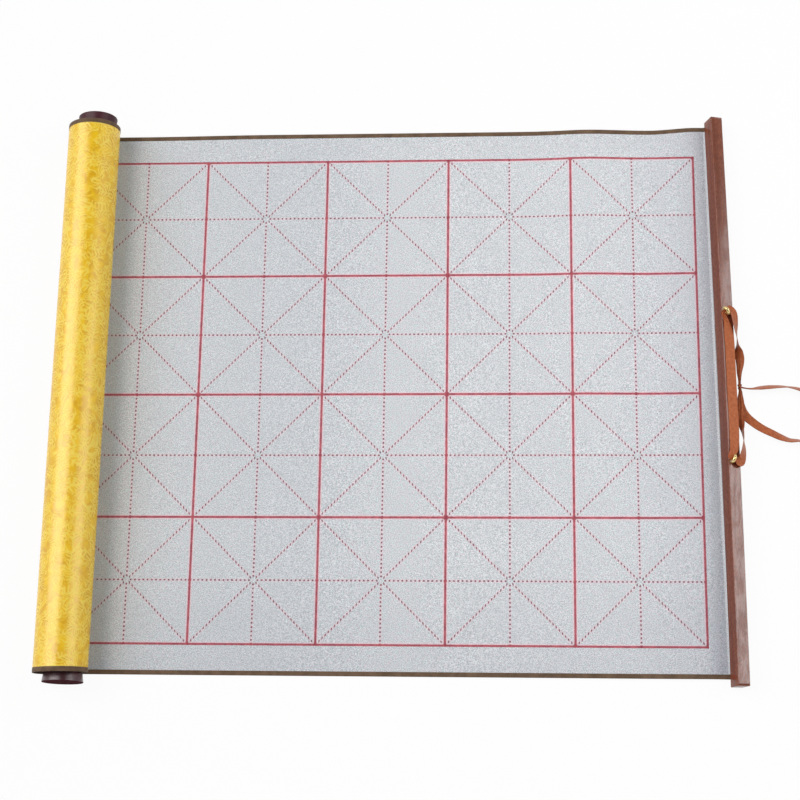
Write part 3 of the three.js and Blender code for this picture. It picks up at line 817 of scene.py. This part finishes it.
def curve_through(points, spacing):
    """A smooth curve through the points, sampled about evenly; returns points and the place in the list."""
    p = np.asarray(points, float)
    p = np.vstack([2.0 * p[0] - p[1], p, 2.0 * p[-1] - p[-2]])
    curve, place = [], []
    for k in range(1, len(p) - 2):
        p0, p1, p2, p3 = p[k - 1:k + 3]
        d0, d1, d2 = (math.sqrt(np.linalg.norm(b - a)) for a, b in ((p0, p1), (p1, p2), (p2, p3)))
        t1 = ((p1 - p0) / d0 - (p2 - p0) / (d0 + d1) + (p2 - p1) / d1) * d1
        t2 = ((p2 - p1) / d1 - (p3 - p1) / (d1 + d2) + (p3 - p2) / d2) * d1
        steps = max(2, int(round(np.linalg.norm(p2 - p1) / spacing)))
        last = k == len(p) - 3
        for t in np.linspace(0.0, 1.0, steps + 1)[: None if last else -1]:
            c2 = -3.0 * p1 + 3.0 * p2 - 2.0 * t1 - t2
            c3 = 2.0 * p1 - 2.0 * p2 + t1 + t2
            curve.append(p1 + t1 * t + c2 * t * t + c3 * t ** 3)
            place.append(k - 1 + t)
    return np.array(curve), np.array(place)


def ribbon_loops(curve, width, stand, cup):
    """A satin strip along a curve: how wide it shows, how it stands on edge, and how far it is cupped."""
    gather_high, gather_waves = 0.55, 7.0
    across = np.linspace(-1.0, 1.0, 15)
    out = np.abs(across)
    selvedge = 0.5 * ribbon_thick * (1.0 + 0.25 * (out > 0.9)) * np.where(out > 0.99, 0.7, 1.0)
    loops = []
    ahead = unit(np.gradient(curve, axis=0))
    for point, way, w, s, c in zip(curve, ahead, width, np.radians(stand), cup):
        level = unit(np.cross(way, np.array([0.0, 0.0, 1.0])))
        side = level * math.cos(s) + np.cross(level, way) * math.sin(s)
        face = np.cross(side, way)
        gather = max(0.0, 1.0 - w / ribbon_width)
        fold = c * (1.0 - across ** 2) + gather_high * gather * np.sin(across * gather_waves)
        middle = point + side * (across * w / 2.0)[:, None]
        top = middle + face * (fold + selvedge)[:, None]
        under = middle + face * (fold - selvedge)[:, None]
        loops.append(np.vstack([under, top[::-1]]))
    return np.array(loops)


def ribbon_places(loops):
    to_edge = np.linspace(-1.0, 1.0, loops.shape[1] // 2)
    place = np.zeros_like(loops)
    place[:, :, 0] = lengths_along(loops.mean(axis=1))[:, None]
    place[:, :, 1] = np.concatenate([to_edge, to_edge[::-1]]) * ribbon_width / 2.0
    return place


def ribbon_finish():
    finish = Finish("satin_ribbon", Specular_IOR_Level=0.6, Specular_Tint=(1.0, 0.52, 0.32, 1.0))
    place = finish.place(follows_cloth=True)
    ribs = finish.wave(place, "X", 360.0, 1.5, 2.0, 3.0)
    mottle = finish.noise(place, 420.0, 3.0, 0.6)
    satin = finish.mix(finish.range(mottle, 0.3, 0.7), tint(160, 84, 50), tint(186, 106, 68))
    satin = finish.mix(finish.times(ribs, 0.25), satin, tint(136, 66, 36))
    _, across, _ = finish.parts(place)
    edge = finish.range(finish.math("ABSOLUTE", across), 0.0034, 0.0038)
    satin = finish.mix(finish.times(edge, 0.35), satin, tint(124, 60, 34))
    finish.colour(satin)
    finish.rough(finish.range(mottle, 0.3, 0.7, 0.36, 0.46))
    finish.relief(ribs, 0.00006, 0.4)
    return finish.material


satin_ribbon = ribbon_finish()


def by_eye(y, turn, distance, above):
    """A point in front of an eye's ring or behind it, measured from the ring's centre."""
    turn = math.radians(turn)
    return eye_inset + distance * math.cos(turn), y + distance * math.sin(turn), eye_centre + above


run_x = bar_width - ribbon_width / 2.0
loop_route = [
    ((15.8, 5.6, 6.0), 2.0, 60.0, 0.0),
    ((15.8, 10.2, 6.5), 2.6, 48.0, 0.2),
    ((15.6, 15.4, 7.2), 4.0, 38.0, 0.4),
    ((16.0, 21.4, 8.2), 5.8, 32.0, 0.5),
    ((15.9, 25.8, 8.8), 6.8, 36.0, 0.4),
    ((14.7, 31.0, 9.8), 7.2, 58.0, 0.3),
    ((13.6, 35.9, 11.0), 7.4, 104.0, 0.2),
    ((12.7, 41.9, 12.4), 7.4, 118.0, 0.1),
    ((11.5, 46.7, 14.1), 7.4, 132.0, 0.2),
    ((10.3, 52.5, 16.0), 7.4, 146.0, 0.3),
    ((8.3, 59.6, 17.4), 7.0, 162.0, 0.6),
    (by_eye(far_y, far_turn, 3.0, 0.4), 5.0, 174.0, 0.5),
    (by_eye(far_y, far_turn, 0.0, 0.0), 2.1, 180.0, 0.0),
    (by_eye(far_y, far_turn, -2.6, -0.8), 3.0, 180.0, 0.0),
    ((eye_inset + 0.8, far_y - 7.0, ribbon_bed + 0.6), 4.6, 180.0, 0.0),
    ((run_x - 0.4, far_y - 15.0, ribbon_bed), 7.4, 180.0, 0.0),
    ((run_x, far_y - 22.0, ribbon_bed), 7.8, 180.0, 0.0),
    ((run_x, (far_y + near_y) / 2.0, ribbon_bed), 7.8, 180.0, 0.0),
    ((run_x, near_y + 17.0, ribbon_bed), 7.8, 180.0, 0.0),
    ((eye_inset + 1.8, near_y + 7.0, ribbon_bed + 0.6), 6.6, 180.0, 0.0),
    (by_eye(near_y, near_turn, -2.6, -0.8), 3.0, 180.0, 0.0),
    (by_eye(near_y, near_turn, 0.0, 0.0), 2.1, 180.0, 0.0),
    (by_eye(near_y, near_turn, 3.0, 0.4), 5.0, 174.0, 0.5),
    ((8.1, near_y - 2.2, eye_centre), 7.0, 164.0, 0.6),
    ((11.5, near_y + 4.4, bar_top + 2.0), 7.4, 146.0, 0.3),
    ((13.7, near_y + 12.0, bar_top - 0.4), 7.4, 128.0, 0.2),
    ((14.3, near_y + 17.0, bar_top - 1.8), 7.2, 112.0, 0.1),
    ((14.3, near_y + 23.4, bar_top - 3.2), 6.8, 100.0, 0.1),
    ((14.1, near_y + 29.6, bar_top - 4.3), 5.8, 60.0, 0.2),
    ((14.3, near_y + 35.4, bar_top - 5.2), 5.2, 34.0, 0.3),
    ((15.2, near_y + 42.0, bar_top - 6.0), 5.0, 28.0, 0.3),
    ((15.6, near_y + 47.0, bar_top - 6.6), 4.8, 30.0, 0.3),
    ((15.7, -2.0, 6.7), 3.6, 40.0, 0.3),
    ((15.8, 1.0, 6.2), 2.4, 50.0, 0.0),
    ((15.8, 4.2, 6.0), 2.0, 60.0, 0.0),
]


def ribbon_piece(name, route, spacing, frame_of=None):
    """A ribbon through a route of (point, shown width, standing angle, cup) rows."""
    curve, place = curve_through([row[0] for row in route], spacing)
    rows = np.arange(len(route))
    width, stand, cup = (np.interp(place, rows, [row[i] for row in route]) for i in (1, 2, 3))
    loops = ribbon_loops(curve, width, stand, cup)
    if frame_of is not None:
        loops, curve = frame_of(loops), frame_of(curve)
    piece = joined_loops(name, loops, ribbon_places(loops), 50.0)
    piece.data.materials.append(satin_ribbon)
    return piece, curve


ribbon_loop, loop_curve = ribbon_piece("ribbon_through_eyes", loop_route, 0.9, from_stay)
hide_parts("ribbon_loop")
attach(ribbon_loop, "stay")

knot_sides = 18
knot_half_width, knot_half_thick, crease_deep = 0.85, 0.45, 0.16
knot_turns = circle(120)
knot_curve = np.stack(
    [
        0.38 * (np.sin(knot_turns) + 2.0 * np.sin(2.0 * knot_turns)),
        0.72 * (np.cos(knot_turns) - 2.0 * np.cos(2.0 * knot_turns)),
        -0.85 * np.sin(3.0 * knot_turns),
    ],
    axis=1,
)
ahead = unit(np.roll(knot_curve, -1, axis=0) - np.roll(knot_curve, 1, axis=0))
around = circle(knot_sides)[:, None]
knot_rows = []
for point, way, t in zip(knot_curve, ahead, knot_turns):
    across = unit(np.cross(way, point))
    face = np.cross(across, way)
    wrap = knot_half_width * np.cos(around) * across + knot_half_thick * np.sin(around) * face
    crease = 1.0 + crease_deep * np.sin(5.0 * around + 2.0 * math.sin(t))
    knot_rows.append(np.array(knot_place) + point + crease * wrap)
knot_loops = from_stay(np.array(knot_rows))
knot_places = np.zeros_like(knot_loops)
knot_places[:, :, 0] = (knot_turns * 4.0)[:, None]
knot_places[:, :, 1] = np.linspace(-2.5, 2.5, knot_sides)
ribbon_knot = joined_loops("ribbon_knot_tied", knot_loops, knot_places, 60.0, ring=True)
ribbon_knot.data.materials.append(satin_ribbon)
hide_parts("ribbon_knot")
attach(ribbon_knot, "stay")

tail_x, tail_y = 264.562, 5.141
tail_bed = 0.26


def lying(x, y, width, stand, cup):
    """A row of a tail's route on the table; standing on edge lifts the ribbon's middle."""
    lift = abs(math.sin(math.radians(stand))) * ribbon_width / 2.0
    return (tail_x + x, tail_y + y, tail_bed + lift), width, stand, cup


first_tail_route = [
    ((tail_x - 2.7, tail_y - 0.4, 3.9), 2.0, 70.0, 0.0),
    ((tail_x, tail_y - 1.0, 3.5), 2.4, 78.0, 0.0),
    lying(5.6, -1.9, 5.0, 66.0, 0.2),
    lying(12.5, -1.1, 7.4, 56.0, 0.3),
    lying(19.4, -0.4, 7.8, 55.0, 0.3),
    lying(28.0, -0.1, 7.8, 62.0, 0.2),
    lying(33.0, -0.4, 7.8, 68.0, 0.2),
    lying(42.7, -2.4, 7.8, 56.0, 0.3),
    lying(56.0, -8.5, 7.8, 40.0, 0.3),
    lying(70.0, -19.0, 7.8, 18.0, 0.2),
    lying(80.0, -33.0, 7.8, 4.0, 0.1),
    lying(86.0, -52.0, 7.8, 0.0, 0.1),
    lying(88.0, -76.0, 7.8, 0.0, 0.1),
    lying(88.0, -102.0, 7.8, 0.0, 0.1),
    lying(85.0, -126.0, 7.8, 0.0, 0.1),
]
second_tail_route = [
    ((tail_x - 2.5, tail_y - 1.0, 2.6), 2.0, 30.0, 0.0),
    ((tail_x - 1.9, tail_y - 3.4, 1.8), 3.0, 20.0, 0.0),
    ((tail_x - 2.1, tail_y - 11.0, 1.2), 5.2, 10.0, 0.1),
    lying(0.6, -21.1, 7.4, 14.0, 0.2),
    lying(7.9, -28.6, 7.6, 24.0, 0.3),
    lying(13.7, -32.6, 7.6, 28.0, 0.3),
    lying(20.2, -36.0, 7.6, 32.0, 0.3),
    lying(26.8, -39.4, 7.8, 40.0, 0.3),
    lying(33.4, -41.8, 7.8, 54.0, 0.3),
    lying(41.4, -42.3, 7.8, 66.0, 0.2),
    lying(53.0, -46.3, 7.8, 42.0, 0.2),
    lying(62.4, -56.3, 7.8, 14.0, 0.1),
    lying(66.4, -72.3, 7.8, 0.0, 0.1),
    lying(66.4, -94.3, 7.8, 0.0, 0.1),
    lying(62.4, -116.3, 7.8, 0.0, 0.1),
    lying(55.4, -140.3, 7.8, 0.0, 0.1),
]
for name, route, length in (("first", first_tail_route, 0.190), ("second", second_tail_route, 0.180)):
    tail, tail_curve = ribbon_piece("ribbon_" + name + "_tail", route, 1.0)
    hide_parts("ribbon_tail_" + name)
    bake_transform(tail)

# Table and light: a plain white table that sweeps up into a wall, with one large soft lamp on the left.
# A smaller one and a fill lamp hang over the right side; the room adds a little light, more from the left.
sweep_profile = [(0.01, 0.0), (1.5, 0.0), (4.6, 0.0), (5.0, 0.06), (5.3, 0.25), (5.48, 0.6), (5.5, 3.2)]
sweep_sides, table_drop = 96, 0.0002
sweep_points = []
for radius, height in sweep_profile:
    for a in circle(sweep_sides):
        sweep_points.append((radius * math.cos(a), radius * math.sin(a), height - table_drop))
sweep_faces = [tuple(range(sweep_sides))]
for i in range(len(sweep_profile) - 1):
    low, high = i * sweep_sides, (i + 1) * sweep_sides
    for j in range(sweep_sides):
        k = (j + 1) % sweep_sides
        sweep_faces.append((low + j, high + j, high + k, low + k))
sweep_mesh = bpy.data.meshes.new("table_top")
sweep_mesh.from_pydata(sweep_points, [], sweep_faces)
sweep_mesh.shade_smooth()
table = placed("table_top", sweep_mesh)

table_paint = Finish("white_table")
table_paint.tree.nodes.remove(table_paint.shader)
matt = table_paint.set(table_paint.add("ShaderNodeBsdfDiffuse"), Color=(0.9, 0.9, 0.9, 1.0))
glow = table_paint.add("ShaderNodeEmission")
rays = table_paint.add("ShaderNodeLightPath").outputs
seen = rays["Is Camera Ray"]
for ray in ("Is Glossy Ray", "Is Transmission Ray"):
    seen = table_paint.math("MAXIMUM", seen, rays[ray])
glow_share = table_paint.times(seen, 0.94)
blend = table_paint.add("ShaderNodeMixShader", glow_share, matt.outputs[0], glow.outputs[0])
table_paint.set(table_paint.tree.nodes["Material Output"], Surface=blend.outputs[0])
table.data.materials.append(table_paint.material)

world = bpy.data.worlds.new("dim_room")
bpy.context.scene.world = world
world.use_nodes = True
room_nodes, room_links = world.node_tree.nodes, world.node_tree.links
room = room_nodes["Background"]
room.inputs["Color"].default_value = (1.0, 1.0, 1.0, 1.0)
facing = room_nodes.new("ShaderNodeTexCoord")
facing_parts = room_nodes.new("ShaderNodeSeparateXYZ")
room_level = room_nodes.new("ShaderNodeMapRange")
left_level, right_level = 0.18, 0.085
for socket, value in zip(room_level.inputs[1:], (-1.0, 1.0, left_level, right_level)):
    socket.default_value = value
room_links.new(facing.outputs["Generated"], facing_parts.inputs[0])
room_links.new(facing_parts.outputs[0], room_level.inputs[0])
room_links.new(room_level.outputs[0], room.inputs["Strength"])


def soft_lamp(name, place, aim, size, power, shines=True):
    lamp_data = bpy.data.lights.new(name, "AREA")
    lamp_data.shape = "RECTANGLE"
    lamp_data.size, lamp_data.size_y = size
    lamp_data.energy = power
    lamp = placed(name, lamp_data)
    lamp.location = place
    lamp.rotation_euler = (Vector(aim) - Vector(place)).to_track_quat("-Z", "Y").to_euler()
    lamp.visible_camera = False
    lamp.visible_glossy = shines


soft_lamp("left_soft_lamp", (-2.65, 0.9, 3.45), (-0.2, 0.0, 0.0), (2.4, 4.2), 133.0)
soft_lamp("right_soft_lamp", (1.7, 0.3, 1.4), (0.1, 0.0, 0.0), (1.1, 1.5), 14.0)
soft_lamp("right_fill_lamp", (0.3, 0.1, 0.75), (0.1, 0.0, 0.0), (0.7, 0.7), 1.3, shines=False)
bpy.context.scene.view_settings.view_transform = "Standard"
